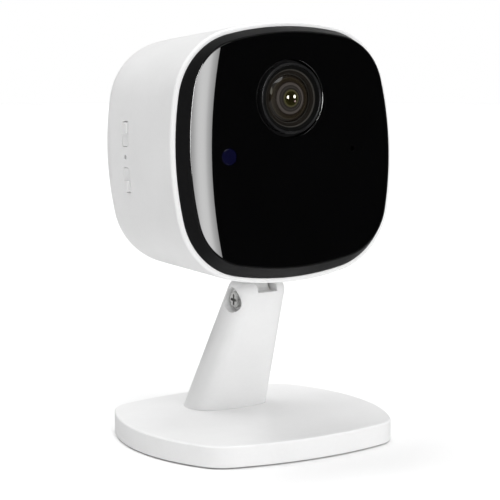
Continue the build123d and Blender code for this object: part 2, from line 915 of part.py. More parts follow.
# ---------------------------------------------------------------- hinge tongue and its fastening
with BuildPart() as hinge_tongue:
    with BuildSketch(hinge.offset(-tongue_width / 2)):
        Circle(eye_radius)
    extrude(amount=tongue_width)
    with BuildSketch(head_floor.offset(pivot_in_head.Y)):
        with Locations((0, pivot_depth)):
            Rectangle(tongue_width, neck_depth)
    extrude(amount=bracket_up - pivot_in_head.Y)
    with BuildSketch(head_floor.offset(bracket_up)):
        with Locations((0, pivot_depth)):
            RectangleRounded(bracket_size[0], bracket_size[1], board_corner)
        with Locations((-bracket_screw_reach, pivot_depth), (bracket_screw_reach, pivot_depth)):
            Circle(pilot_radius + loose_fit, mode=Mode.SUBTRACT)
    extrude(amount=bracket_size[2])
    with BuildSketch(hinge.offset(-tongue_width / 2)):
        Circle(pivot_radius + running_fit)
    extrude(amount=tongue_width, mode=Mode.SUBTRACT)
save(hinge_tongue.part, "hinge_tongue")

hinge_screws = screw_group(
    head_floor.offset(bracket_up + bracket_size[2]),
    [(-bracket_screw_reach, pivot_depth, 0), (bracket_screw_reach, pivot_depth, 0)],
    head_radius=1.9,
    head_height=1.2,
    shank_radius=pilot_radius - thread_fit,
    shank_length=4.8,
)
save(hinge_screws, "hinge_screws")

nut_thickness = 2.0
nut_width = 5.0
screw_head = (2.15, 1.3)
screw_length = screw_pocket_floor + nut_pocket_floor + nut_thickness - 0.2
screw_seat = Plane(origin=hinge.offset(-screw_pocket_floor).origin, x_dir=(0, 1, 0), z_dir=(-1, 0, 0))
save(screw(screw_seat, *screw_head, pivot_radius, screw_length), "pivot_screw")

with BuildPart() as pivot_nut:
    with BuildSketch(hinge.offset(nut_pocket_floor)):
        RegularPolygon(nut_width / 2, 6, major_radius=False)
        Circle(pivot_radius + thread_fit, mode=Mode.SUBTRACT)
    extrude(amount=nut_thickness)
save(pivot_nut.part, "pivot_nut")

washer_seat = (slot_width - 2 * thread_fit) / 2
right_washer_plane = hinge.offset(washer_seat - washer_thickness)
left_washer_plane = hinge.offset(-washer_seat)
washer_bore = pivot_radius + running_fit
save(ring(right_washer_plane, washer_radius, washer_bore, washer_thickness), "friction_washer_right")
save(ring(left_washer_plane, washer_radius, washer_bore, washer_thickness), "friction_washer_left")

# ---------------------------------------------------------------- stem
stem_foot_plane = Plane(origin=(0, stem_foot_y, base_top))
stem_top_plane = Plane(origin=(0, stem_top_y, stem_top))
stem_lean = (stem_top_plane.origin - stem_foot_plane.origin).normalized()
eye_pocket_radius = eye_radius + 2 * loose_fit
stem_screw_radius = 1.5
stem_screw_depth = 6.8
cut_reach = 20.0

with BuildPart() as stem:
    with BuildSketch(stem_foot_plane):
        add(bulged_rectangle(*stem_foot_half, *stem_foot_bulge, stem_foot_corner))
    with BuildSketch(stem_top_plane):
        add(bulged_rectangle(*stem_top_half, *stem_top_bulge, stem_top_corner))
    loft(ruled=True)
    fillet(stem.faces().sort_by(Axis.Z)[-1].edges(), radius=stem_top_round)
    # fork slot: open at the top, down to a lip in front and lower at the back
    with BuildSketch(Plane.XY.offset(slot_lip)):
        Rectangle(slot_width, 2 * cut_reach)
    extrude(amount=cut_reach, mode=Mode.SUBTRACT)
    with BuildSketch(Plane.XY.offset(slot_back)):
        with Locations((0, pivot[1])):
            Rectangle(slot_width, cut_reach, align=(Align.CENTER, Align.MIN))
    extrude(amount=cut_reach, mode=Mode.SUBTRACT)
    with BuildSketch(hinge.offset(-slot_width / 2)):
        Circle(eye_pocket_radius)
    extrude(amount=slot_width, mode=Mode.SUBTRACT)
    # screw pocket on the left, nut pocket on the right, bore through both arms
    with BuildSketch(hinge.offset(-screw_pocket_floor)):
        Circle(screw_pocket_radius)
    extrude(amount=-cut_reach, mode=Mode.SUBTRACT)
    with BuildSketch(hinge.offset(nut_pocket_floor)):
        RegularPolygon(nut_width / 2 + running_fit, 6, major_radius=False)
    extrude(amount=cut_reach, mode=Mode.SUBTRACT)
    with BuildSketch(hinge.offset(-cut_reach)):
        Circle(pivot_radius + running_fit)
    extrude(amount=2 * cut_reach, mode=Mode.SUBTRACT)
    # core and screw holes in the foot
    with BuildSketch(stem_foot_plane):
        RectangleRounded(stem_core, stem_core, stem_core_corner)
    extrude(amount=stem_core_height, dir=stem_lean, mode=Mode.SUBTRACT)
    with BuildSketch(stem_foot_plane):
        with Locations((-stem_screw_reach, 0), (stem_screw_reach, 0)):
            Circle(stem_screw_radius + thread_fit)
    extrude(amount=stem_screw_depth, mode=Mode.SUBTRACT)
save(stem.part, "stem")

# ---------------------------------------------------------------- base
skin_bottom = base_top - base_skin
weight_bottom = skin_bottom - weight_thickness
base_boss_radius = 2.4
base_screw_radius = 0.95
base_pilot_depth = 2.9
head_recess = 0.7
stem_head_clearance = 3.0
base_head_clearance = 2.1
stem_screw_places = [(-stem_screw_reach, stem_foot_y), (stem_screw_reach, stem_foot_y)]
base_screw_places = corners(*base_screw_reach)

with BuildPart() as base_shell:
    with BuildSketch(Plane.XY.offset(base_rim_bottom)):
        add(base_outline(0))
    extrude(amount=base_top - base_rim_bottom)
    fillet(base_shell.faces().sort_by(Axis.Z)[-1].edges(), radius=base_top_round)
    fillet(base_shell.faces().sort_by(Axis.Z)[0].edges(), radius=base_top_round / 2)
    with BuildSketch(Plane.XY):
        add(base_outline(base_wall))
    extrude(amount=skin_bottom, mode=Mode.SUBTRACT)
    with BuildSketch(Plane.XY.offset(weight_bottom)):
        with Locations(*base_screw_places):
            Circle(base_boss_radius)
    extrude(amount=weight_thickness + base_skin / 2)
    with BuildSketch(Plane.XY.offset(weight_bottom)):
        with Locations(*base_screw_places):
            Circle(base_screw_radius + thread_fit)
    extrude(amount=base_pilot_depth, mode=Mode.SUBTRACT)
    with BuildSketch(Plane.XY):
        with Locations(*stem_screw_places):
            Circle(stem_screw_radius + loose_fit)
    extrude(amount=base_top, mode=Mode.SUBTRACT)
save(base_shell.part, "base_shell")

with BuildPart() as weight_plate:
    with BuildSketch(Plane.XY.offset(weight_bottom)):
        add(base_outline(base_wall + loose_fit))
        with Locations(*base_screw_places):
            Circle(base_boss_radius + loose_fit, mode=Mode.SUBTRACT)
        with Locations(*stem_screw_places):
            Circle(stem_screw_radius + loose_fit, mode=Mode.SUBTRACT)
    extrude(amount=weight_thickness)
save(weight_plate.part, "weight_plate")

stem_screws = screw_group(
    Plane(origin=(0, 0, weight_bottom), x_dir=(1, 0, 0), z_dir=(0, 0, -1)),
    [(x, -y, 0) for x, y in stem_screw_places],
    head_radius=2.6,
    head_height=1.1,
    shank_radius=stem_screw_radius,
    shank_length=weight_thickness + base_skin + stem_screw_depth - 0.5,
)
save(stem_screws, "stem_screws")

with BuildPart() as base_cover:
    with BuildSketch(Plane.XY.offset(pad_thickness)):
        add(base_outline(base_wall + loose_fit))
        with Locations(*base_screw_places):
            Circle(base_screw_radius + loose_fit, mode=Mode.SUBTRACT)
        with Locations(*stem_screw_places):
            Circle(stem_head_clearance, mode=Mode.SUBTRACT)
    extrude(amount=weight_bottom - pad_thickness)
    with BuildSketch(Plane.XY.offset(pad_thickness)):
        with Locations(*base_screw_places):
            Circle(base_head_clearance)
    extrude(amount=head_recess, mode=Mode.SUBTRACT)
save(base_cover.part, "base_cover")

base_screws = screw_group(
    Plane(origin=(0, 0, pad_thickness + head_recess), x_dir=(1, 0, 0), z_dir=(0, 0, -1)),
    [(x, y, 0) for x, y in base_screw_places],
    head_radius=1.9,
    head_height=head_recess,
    shank_radius=base_screw_radius,
    shank_length=weight_bottom - pad_thickness - head_recess + base_pilot_depth - 0.3,
)
save(base_screws, "base_screws")

with BuildPart() as base_pad:
    with BuildSketch(Plane.XY):
        add(base_outline(pad_inset))
    extrude(amount=pad_thickness)
    fillet(base_pad.faces().sort_by(Axis.Z)[0].edges(), radius=pad_thickness / 3)
save(base_pad.part, "base_pad")
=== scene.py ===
import json
import math

import bmesh
import bpy
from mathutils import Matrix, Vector

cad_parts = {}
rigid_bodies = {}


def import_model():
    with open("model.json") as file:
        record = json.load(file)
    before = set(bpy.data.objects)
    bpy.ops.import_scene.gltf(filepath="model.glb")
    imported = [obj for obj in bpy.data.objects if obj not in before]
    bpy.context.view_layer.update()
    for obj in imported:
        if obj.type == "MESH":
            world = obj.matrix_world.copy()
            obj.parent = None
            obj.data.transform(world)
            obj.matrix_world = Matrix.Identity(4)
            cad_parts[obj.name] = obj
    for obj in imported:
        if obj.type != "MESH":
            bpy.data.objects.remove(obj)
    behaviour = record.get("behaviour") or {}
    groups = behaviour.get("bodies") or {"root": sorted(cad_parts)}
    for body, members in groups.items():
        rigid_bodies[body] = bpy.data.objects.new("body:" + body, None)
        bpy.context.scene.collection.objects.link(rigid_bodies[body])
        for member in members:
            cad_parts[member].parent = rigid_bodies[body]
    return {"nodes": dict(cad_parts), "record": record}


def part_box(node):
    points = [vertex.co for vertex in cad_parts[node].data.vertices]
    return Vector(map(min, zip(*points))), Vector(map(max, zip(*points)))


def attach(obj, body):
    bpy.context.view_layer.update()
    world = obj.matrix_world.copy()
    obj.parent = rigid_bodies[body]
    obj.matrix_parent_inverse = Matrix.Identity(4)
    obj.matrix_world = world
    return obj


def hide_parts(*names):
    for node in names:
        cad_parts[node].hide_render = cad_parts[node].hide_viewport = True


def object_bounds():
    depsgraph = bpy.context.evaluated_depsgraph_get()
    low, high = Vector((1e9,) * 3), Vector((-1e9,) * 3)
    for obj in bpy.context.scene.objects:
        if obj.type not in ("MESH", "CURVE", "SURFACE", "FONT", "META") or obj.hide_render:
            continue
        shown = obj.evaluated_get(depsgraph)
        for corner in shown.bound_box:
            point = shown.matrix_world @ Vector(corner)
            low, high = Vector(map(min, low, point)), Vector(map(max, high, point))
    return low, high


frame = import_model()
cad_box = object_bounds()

# Indoor security camera: looks, extra surface detail, studio and camera. Everything is in metres in
# the frame of the CAD model: +Z up, the lens looks along -Y, the side buttons are on the -X flank.

MM = 0.001
nodes = frame["nodes"]
scene = bpy.context.scene


# ---------------------------------------------------------------- places taken from the frame
def centre_of(node):
    """Middle of a CAD node's box."""
    low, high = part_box(node)
    return (low + high) / 2


inlet = next(m for m in frame["record"]["mounts"] if m["name"] == "power_inlet")
forward = -Vector(inlet["axis"]).normalized()
right = Vector((1, 0, 0))
up = right.cross(-forward).normalized()


def extent_along(node, origin, axis):
    """Lowest and highest place of a CAD node along an axis from an origin."""
    along = [(v.co - origin).dot(axis) for v in nodes[node].data.vertices]
    return min(along), max(along)


head_origin = centre_of("front_bezel")


# ---------------------------------------------------------------- node materials
def add_node(tree, kind, **settings):
    """A shader node, with its settings by property or input name."""
    node = tree.nodes.new(kind)
    for name, value in settings.items():
        if name in node.inputs:
            node.inputs[name].default_value = value
        else:
            setattr(node, name, value)
    return node


def new_material(name, **shader_values):
    """A material with a Principled shader and its plain values."""
    material = bpy.data.materials.new(name)
    material.use_nodes = True
    shader = material.node_tree.nodes["Principled BSDF"]
    for socket, value in shader_values.items():
        shader.inputs[socket.replace("_", " ")].default_value = value
    return material


def noise(tree, size, detail=3.0, roughness=0.5, stretch=(1, 1, 1)):
    """Noise whose grains are about this size, in metres, stretched along the axes."""
    place = add_node(tree, "ShaderNodeTexCoord")
    scaling = add_node(tree, "ShaderNodeMapping")
    scaling.inputs["Scale"].default_value = stretch
    tree.links.new(place.outputs["Object"], scaling.inputs["Vector"])
    grain = add_node(tree, "ShaderNodeTexNoise", Scale=1 / size, Detail=detail, Roughness=roughness)
    tree.links.new(scaling.outputs["Vector"], grain.inputs["Vector"])
    return grain.outputs["Fac"]


def remap(tree, value, low, high, from_low=0.3, from_high=0.7):
    """A value between from_low and from_high brought to between low and high."""
    span = add_node(tree, "ShaderNodeMapRange")
    span.inputs["From Min"].default_value = from_low
    span.inputs["From Max"].default_value = from_high
    span.inputs["To Min"].default_value = low
    span.inputs["To Max"].default_value = high
    tree.links.new(value, span.inputs["Value"])
    return span.outputs["Result"]


def mix_colour(tree, factor, first, second):
    """Colour between two, by a factor. Each is a colour or an output."""
    mix = add_node(tree, "ShaderNodeMix", data_type="RGBA")
    tree.links.new(factor, mix.inputs["Factor"])
    for socket, colour in ((mix.inputs["A"], first), (mix.inputs["B"], second)):
        if isinstance(colour, (tuple, list)):
            socket.default_value = (*colour, 1)
        else:
            tree.links.new(colour, socket)
    return mix.outputs["Result"]


def edge_mask(tree, radius):
    """1 on edges sharper than the radius, 0 on flat and gently curved faces."""
    rounded = add_node(tree, "ShaderNodeBevel", samples=4, Radius=radius)
    plain = add_node(tree, "ShaderNodeNewGeometry")
    agreement = add_node(tree, "ShaderNodeVectorMath", operation="DOT_PRODUCT")
    tree.links.new(rounded.outputs["Normal"], agreement.inputs[0])
    tree.links.new(plain.outputs["Normal"], agreement.inputs[1])
    return remap(tree, agreement.outputs["Value"], 1.0, 0.0, 0.9, 0.995)


def finish_surface(material, colour=None, roughness=None, bumps=(), round_edges=0.0):
    """Connects a colour, a roughness, and bumps, each (height, depth in metres)."""
    tree = material.node_tree
    shader = tree.nodes["Principled BSDF"]
    if colour is not None:
        tree.links.new(colour, shader.inputs["Base Color"])
    if roughness is not None:
        tree.links.new(roughness, shader.inputs["Roughness"])
    normal = None
    if round_edges:
        rounded = add_node(tree, "ShaderNodeBevel", samples=6, Radius=round_edges)
        normal = rounded.outputs["Normal"]
    for height, depth in bumps:
        bump = add_node(tree, "ShaderNodeBump", Strength=1.0, Distance=depth)
        tree.links.new(height, bump.inputs["Height"])
        if normal is not None:
            tree.links.new(normal, bump.inputs["Normal"])
        normal = bump.outputs["Normal"]
    if normal is not None:
        tree.links.new(normal, shader.inputs["Normal"])
    return material


def moulded_plastic(name, colour, roughness, grain_depth, edge_colour, gloss=0.5):
    """Injection moulded plastic: fine eroded grain, faint flow mottling, and edges in the edge colour: rubbed
    wear on most plastics, a painted highlight on the lens trim's rounded edges.
    """
    material = new_material(name, Specular_IOR_Level=gloss)
    tree = material.node_tree
    shade = [c * 0.965 for c in colour]
    mottled = mix_colour(tree, remap(tree, noise(tree, 14 * MM, 2.0), 0, 1), shade, colour)
    speckled = mix_colour(tree, remap(tree, noise(tree, 0.9 * MM, 4.0), 0, 0.12), mottled, edge_colour)
    edges = edge_mask(tree, 0.35 * MM)
    # Edges in the edge colour: rubbed wear, and on the lens trim a painted highlight along its rounded edges.
    wear_and_highlight = add_node(tree, "ShaderNodeMath", operation="MULTIPLY")
    tree.links.new(edges, wear_and_highlight.inputs[0])
    tree.links.new(remap(tree, noise(tree, 3 * MM, 4.0), 0, 1), wear_and_highlight.inputs[1])
    rubbed_and_lit_edges = mix_colour(tree, wear_and_highlight.outputs["Value"], speckled, edge_colour)
    polish = remap(tree, noise(tree, 6 * MM, 5.0), roughness * 0.9, roughness * 1.12)
    grain = noise(tree, 0.28 * MM, 5.0, 0.6)
    swell = noise(tree, 9 * MM, 1.0)
    bumps = ((swell, grain_depth * 1.5), (grain, grain_depth))
    return finish_surface(material, rubbed_and_lit_edges, polish, bumps, round_edges=0.2 * MM)


def polished_black(name, colour, roughness, gloss=0.5):
    """Polished black acrylic: clear gloss, faint haze and flow waves."""
    material = new_material(name, IOR=1.49, Specular_IOR_Level=gloss)
    tree = material.node_tree
    haze = noise(tree, 22 * MM, 3.0)
    tone = mix_colour(tree, remap(tree, haze, 0, 1), colour, [c * 1.3 for c in colour])
    polish = remap(tree, haze, roughness, roughness * 1.8)
    return finish_surface(material, tone, polish, ((noise(tree, 16 * MM, 1.0), 0.0003 * MM),))


def machined_metal(name, colour, roughness, grain=(1, 1, 1), metallic=1.0):
    """Plated or anodised metal with fine directional grain and slight stains."""
    material = new_material(name, Metallic=metallic)
    tree = material.node_tree
    lines = noise(tree, 0.15 * MM, 4.0, 0.6, grain)
    tone = mix_colour(tree, remap(tree, noise(tree, 2.5 * MM, 4.0), 0, 1), [c * 0.82 for c in colour], colour)
    polish = remap(tree, lines, roughness * 0.75, roughness * 1.3)
    return finish_surface(material, tone, polish, ((lines, 0.003 * MM),), round_edges=0.08 * MM)


def coated_glass(name, tint):
    """Coated lens glass: clear, with the weak reflections of an anti-glare film."""
    material = new_material(name, IOR=1.2)
    material.node_tree.nodes["Principled BSDF"].inputs["Transmission Weight"].default_value = 1.0
    tree = material.node_tree
    tone = mix_colour(tree, remap(tree, noise(tree, 2 * MM, 3.0), 0, 1), tint, [c * 0.97 for c in tint])
    return finish_surface(material, tone, remap(tree, noise(tree, 1.5 * MM), 0.06, 0.07))


def soft_rubber(name, colour, roughness):
    """Matt rubber or silicone with a dusty bloom."""
    material = new_material(name)
    tree = material.node_tree
    bloom = mix_colour(
        tree, remap(tree, noise(tree, 4 * MM, 6.0), 0, 1), colour, [min(1, c * 1.5 + 0.01) for c in colour]
    )
    polish = remap(tree, noise(tree, 1 * MM, 4.0), roughness * 0.85, roughness)
    return finish_surface(material, bloom, polish, ((noise(tree, 0.35 * MM, 4.0), 0.02 * MM),))


def board_laminate(name, colour):
    """Solder mask over a woven laminate, with faint copper traces under it."""
    material = new_material(name)
    tree = material.node_tree
    weave = noise(tree, 0.6 * MM, 2.0)
    traces = noise(tree, 2.2 * MM, 0.0, 0.5, (1, 1, 6))
    tone = mix_colour(tree, remap(tree, traces, 0, 1, 0.5, 0.53), colour, [c * 1.5 for c in colour])
    polish = remap(tree, weave, 0.3, 0.42)
    return finish_surface(material, tone, polish, ((traces, 0.02 * MM), (weave, 0.005 * MM)))


def ringed_surface(name, centre, rings, roughness, gloss, grain_depth):
    """Lens surface that changes colour in rings round the lens axis: (radius, colour) outwards."""
    material = new_material(name, Specular_IOR_Level=gloss)
    tree = material.node_tree
    place = add_node(tree, "ShaderNodeTexCoord")
    offset = add_node(tree, "ShaderNodeVectorMath", operation="SUBTRACT")
    offset.inputs[1].default_value = centre
    tree.links.new(place.outputs["Object"], offset.inputs[0])
    flat = add_node(tree, "ShaderNodeVectorMath", operation="CROSS_PRODUCT")
    flat.inputs[1].default_value = forward
    tree.links.new(offset.outputs["Vector"], flat.inputs[0])
    reach = add_node(tree, "ShaderNodeVectorMath", operation="LENGTH")
    tree.links.new(flat.outputs["Vector"], reach.inputs[0])
    ramp = add_node(tree, "ShaderNodeValToRGB")
    outermost = rings[-1][0]
    stops = ramp.color_ramp.elements
    while len(stops) < len(rings):
        stops.new(0.5)
    for stop, (radius, colour) in zip(stops, rings):
        stop.position = radius / outermost
        stop.color = (*colour, 1)
    tree.links.new(remap(tree, reach.outputs["Value"], 0, 1, 0, outermost), ramp.inputs["Fac"])
    polish = remap(tree, noise(tree, 1.2 * MM, 3.0), roughness * 0.8, roughness * 1.25)
    bumps = ((noise(tree, 0.2 * MM, 4.0), grain_depth),) if grain_depth else ()
    return finish_surface(material, ramp.outputs["Color"], polish, bumps)


WHITE = (0.80, 0.80, 0.80)
NEAR_BLACK = (0.0045, 0.0045, 0.005)
looks = {
    "white_shell": moulded_plastic("white_shell", WHITE, 0.42, 0.006 * MM, (0.88, 0.88, 0.88)),
    "black_bezel": moulded_plastic(
        "black_bezel", NEAR_BLACK, 0.4, 0.004 * MM, (0.02, 0.02, 0.02), gloss=0.14
    ),
    "black_panel": polished_black("black_panel", (0.0008, 0.0008, 0.0009), 0.003),
    # Lens trim: its bright edge colour is a painted highlight ring on the trim's rounded edges.
    "lens_trim": moulded_plastic("lens_trim", NEAR_BLACK, 0.28, 0.001 * MM, (0.05, 0.05, 0.05), gloss=0.05),
    "lens_hood": moulded_plastic("lens_hood", NEAR_BLACK, 0.3, 0.002 * MM, (0.02, 0.018, 0.015), gloss=0.0),
    "barrel": machined_metal("barrel", (0.03, 0.027, 0.022), 0.35, metallic=0.4),
    "clear_glass": coated_glass("clear_glass", (0.96, 0.97, 0.95)),
    "sensor_glass": polished_black("sensor_glass", (0.002, 0.002, 0.012), 0.02, gloss=0.25),
    "circuit_board": board_laminate("circuit_board", (0.01, 0.11, 0.05)),
    "chip": moulded_plastic("chip", (0.02, 0.02, 0.022), 0.5, 0.01 * MM, (0.07, 0.07, 0.07)),
    "inner_plastic": moulded_plastic(
        "inner_plastic", (0.03, 0.03, 0.032), 0.45, 0.01 * MM, (0.08, 0.08, 0.08)
    ),
    "soft_pad": soft_rubber("soft_pad", (0.22, 0.23, 0.26), 0.7),
    "black_rubber": soft_rubber("black_rubber", (0.018, 0.018, 0.018), 0.75),
    "tin": machined_metal("tin", (0.66, 0.66, 0.67), 0.32),
    "screw_steel": machined_metal("screw_steel", (0.60, 0.60, 0.59), 0.3),
    "heavy_steel": machined_metal("heavy_steel", (0.42, 0.43, 0.44), 0.4, (1, 0.05, 1)),
    "spreader": machined_metal("spreader", (0.72, 0.73, 0.74), 0.36, (0.05, 1, 1)),
    "led_resin": polished_black("led_resin", (0.03, 0.02, 0.03), 0.08),
    "nylon": moulded_plastic("nylon", (0.72, 0.71, 0.66), 0.5, 0.006 * MM, (0.8, 0.8, 0.76)),
}
for part in frame["record"]["subparts"]:
    mesh = nodes[part["node"]].data
    mesh.materials.clear()
    mesh.materials.append(looks[part["material_slot"]])


# ---------------------------------------------------------------- lens pieces, turned about its axis
lens_centre = centre_of("lens_barrel")
SHARP_ANGLE = math.radians(32)


def turned_piece(name, profile, material, axis_point=lens_centre, segments=144):
    """Closed ring or disc on the head: a profile of (radius, forward) points turned about an axis
    that looks forward, the lens axis if none is given. A profile that starts and ends at radius 0
    makes a disc; any other closes on itself as a ring."""
    mesh = bpy.data.meshes.new(name)
    form = bmesh.new()
    turns = [2 * math.pi * step / segments for step in range(segments)]
    rows = []
    for radius, depth in profile:
        middle_of_row = axis_point + forward * depth
        if radius == 0:
            rows.append([form.verts.new(middle_of_row)] * segments)
            continue
        rows.append(
            [
                form.verts.new(middle_of_row + right * (radius * math.cos(a)) + up * (radius * math.sin(a)))
                for a in turns
            ]
        )
    pairs = list(zip(rows, rows[1:]))
    if profile[0][0]:
        pairs.append((rows[-1], rows[0]))
    for near, far in pairs:
        for step in range(segments):
            following = (step + 1) % segments
            corners = [near[step], near[following], far[following], far[step]]
            form.faces.new(list(dict.fromkeys(corners)))
    bmesh.ops.recalc_face_normals(form, faces=form.faces)
    for flat_face in form.faces:
        flat_face.smooth = True
    form.to_mesh(mesh)
    form.free()
    mesh.set_sharp_from_angle(angle=SHARP_ANGLE)
    piece = bpy.data.objects.new(name, mesh)
    scene.collection.objects.link(piece)
    mesh.materials.append(material)
    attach(piece, "head")
    return piece


def radius_of(node):
    """Largest distance of a CAD node from the lens axis."""
    return max(
        ((v.co - lens_centre) - forward * (v.co - lens_centre).dot(forward)).length
        for v in nodes[node].data.vertices
    )


def ribbed(start, end, ribs, height):
    """Points from one place of a profile to another, with fine raised ribs between them."""
    run = (end[0] - start[0], end[1] - start[1])
    length = math.hypot(*run)
    outward = (-run[1] / length, run[0] / length)
    points = [start]
    for rib in range(ribs):
        for part, rise in ((0.25, 0.0), (0.4, 1.0), (0.6, 1.0), (0.75, 0.0)):
            along = (rib + part) / ribs
            points.append(
                (
                    start[0] + run[0] * along + outward[0] * height * rise,
                    start[1] + run[1] * along + outward[1] * height * rise,
                )
            )
    return points


def add_lens_funnel():
    """Stepped funnel round the glass, with fine ribs on its walls and ledges against stray light."""
    back, front = extent_along("lens_hood", lens_centre, forward)
    outer = radius_of("lens_hood")
    lip = 0.06 * MM
    rib_height = 0.03 * MM
    # steps from the mouth inwards: (radius, depth below the mouth)
    steps = [(7.75, 0.0), (7.35, 0.5), (7.08, 0.5), (6.9, 0.85), (6.35, 0.95), (6.1, 1.15)]
    places = [(radius * MM, front - depth * MM) for radius, depth in steps]
    profile = [(places[-1][0], back), (outer, back), (outer, front - lip), (outer - lip, front)]
    for index, (start, end) in enumerate(zip(places, places[1:])):
        ribs = 2 if index % 2 == 0 else 3
        profile += ribbed(start, end, ribs, rib_height)
    profile.append(places[-1])
    piece = turned_piece("lens_funnel", profile, looks["lens_funnel"])
    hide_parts("lens_hood")


def dome(radius, edge, middle_height, points):
    """Profile of a shallow dome from its middle out to its edge, edge and middle as forward places."""
    rise = middle_height - edge
    sphere = (radius**2 + rise**2) / (2 * rise)
    reach = [radius * step / points for step in range(points + 1)]
    return [(r, middle_height - sphere + math.sqrt(sphere**2 - r**2)) for r in reach]


def add_front_glass():
    """Domed front element of the lens with a ground edge. It is opaque: painted rings on it stand in for the
    deeper elements seen through the glass, with painted highlights on their edges and slopes.
    """
    back, front = extent_along("front_lens", lens_centre, forward)
    outer = radius_of("front_lens")
    crown = 1.5 * MM
    bevel = 0.12 * MM
    profile = dome(outer - bevel, front - crown, front, 32)
    profile += [(outer, front - crown - bevel), (outer, back + bevel), (outer - bevel, back), (0, back)]
    glass = turned_piece("front_lens_glass", profile, looks["front_element"])
    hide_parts("front_lens")


def add_lens_seal():
    """Matt foam ring that closes the gap between the trim ring and the opening in the panel."""
    back, front = extent_along("front_panel", lens_centre, forward)
    clearance = 0.04 * MM
    inner = radius_of("lens_ring") + clearance
    outer = 9.55 * MM
    depth_below_panel = 0.25 * MM
    depth = front - depth_below_panel
    profile = [(inner, back), (outer, back), (outer, depth), (inner, depth)]
    turned_piece("lens_seal", profile, looks["lens_seal"])


# Painted rings on the opaque front dome, from its axis outwards: (radius, colour). They stand in for the
# deeper lens elements; the lighter rings are painted highlights on their edges and slopes.
looks["front_element"] = ringed_surface(
    "front_element",
    lens_centre,
    [
        (0.0, (0.0085, 0.0065, 0.002)),
        (1.1 * MM, (0.0085, 0.0075, 0.002)),
        (1.7 * MM, (0.015, 0.014, 0.003)),
        (1.85 * MM, (0.048, 0.045, 0.020)),
        (2.15 * MM, (0.040, 0.036, 0.022)),
        (2.3 * MM, (0.015, 0.013, 0.011)),
        (2.7 * MM, (0.022, 0.019, 0.017)),
        (2.8 * MM, (0.042, 0.037, 0.033)),
        (2.92 * MM, (0.018, 0.016, 0.014)),
        (3.25 * MM, (0.022, 0.019, 0.017)),
        (3.38 * MM, (0.062, 0.054, 0.049)),
        (3.85 * MM, (0.048, 0.042, 0.038)),
        (4.0 * MM, (0.011, 0.008, 0.006)),
        (4.9 * MM, (0.017, 0.013, 0.007)),
        (5.05 * MM, (0.028, 0.023, 0.016)),
        (5.2 * MM, (0.013, 0.010, 0.007)),
        (5.8 * MM, (0.009, 0.007, 0.005)),
    ],
    roughness=0.025,
    gloss=0.5,
    grain_depth=0,
)
looks["lens_seal"] = polished_black("lens_seal", (0.0015, 0.0015, 0.0015), 0.8, gloss=0.0)
# Rings on the funnel: the lighter ring from 6.95 to 7.08 mm is a painted highlight on the lip of a step.
looks["lens_funnel"] = ringed_surface(
    "lens_funnel",
    lens_centre,
    [
        (6.1 * MM, (0.012, 0.010, 0.008)),
        (6.85 * MM, (0.010, 0.0085, 0.007)),
        (6.95 * MM, (0.060, 0.056, 0.050)),
        (7.08 * MM, (0.045, 0.042, 0.038)),
        (7.2 * MM, (0.005, 0.005, 0.0045)),
        (8.05 * MM, (0.004, 0.004, 0.004)),
    ],
    roughness=0.3,
    gloss=0.02,
    grain_depth=0.001 * MM,
)
looks["dark_filter"] = polished_black("dark_filter", (0.004, 0.004, 0.006), 0.4, gloss=0.1)
for deep_node in ("infrared_filter", "image_sensor"):
    nodes[deep_node].data.materials[0] = looks["dark_filter"]
add_lens_funnel()
add_front_glass()
add_lens_seal()


# ---------------------------------------------------------------- small parts inside the head
def add_blocks(name, blocks, materials):
    """Piece on the head made of many small blocks: each (centre, three half edges as vectors, material)."""
    mesh = bpy.data.meshes.new(name)
    form = bmesh.new()
    for centre, (along, across, tall), index in blocks:
        verts = {}
        for a in (-1, 1):
            for b in (-1, 1):
                for c in (-1, 1):
                    verts[a, b, c] = form.verts.new(centre + along * a + across * b + tall * c)
        for corners in (
            ((-1, -1, -1), (-1, 1, -1), (1, 1, -1), (1, -1, -1)),
            ((-1, -1, 1), (1, -1, 1), (1, 1, 1), (-1, 1, 1)),
            ((-1, -1, -1), (1, -1, -1), (1, -1, 1), (-1, -1, 1)),
            ((-1, 1, -1), (-1, 1, 1), (1, 1, 1), (1, 1, -1)),
            ((-1, -1, -1), (-1, -1, 1), (-1, 1, 1), (-1, 1, -1)),
            ((1, -1, -1), (1, 1, -1), (1, 1, 1), (1, -1, 1)),
        ):
            side = form.faces.new([verts[corner] for corner in corners])
            side.material_index = index
    bmesh.ops.recalc_face_normals(form, faces=form.faces)
    form.to_mesh(mesh)
    form.free()
    piece = bpy.data.objects.new(name, mesh)
    scene.collection.objects.link(piece)
    for material in materials:
        mesh.materials.append(material)
    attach(piece, "head")
    return piece


def add_chip_parts(name, board, normal, along, rows, columns, pitch, shift):
    """Chip resistors and capacitors in rows on one side of a board: dark or tan bodies, tinned ends."""
    place = centre_of(board)
    across = normal.cross(along)
    surface = extent_along(board, place, normal)[1]
    body_half, end_half, width_half, height_half = 0.5 * MM, 0.16 * MM, 0.4 * MM, 0.25 * MM
    row_pitch = pitch * 0.8
    blocks = []
    for row in range(rows):
        for column in range(columns):
            centre = (
                place
                + along * ((column - (columns - 1) / 2) * pitch + shift[0])
                + across * ((row - (rows - 1) / 2) * row_pitch + shift[1])
                + normal * (surface + height_half)
            )
            sides = (along * body_half, across * width_half, normal * height_half)
            blocks.append((centre, sides, (row + column) % 2))
            for end in (-1, 1):
                tip = centre + along * end * (body_half + end_half)
                blocks.append((tip, (along * end_half, across * width_half, normal * height_half), 2))
    add_blocks(name, blocks, [looks["chip"], looks["ceramic"], looks["tin"]])


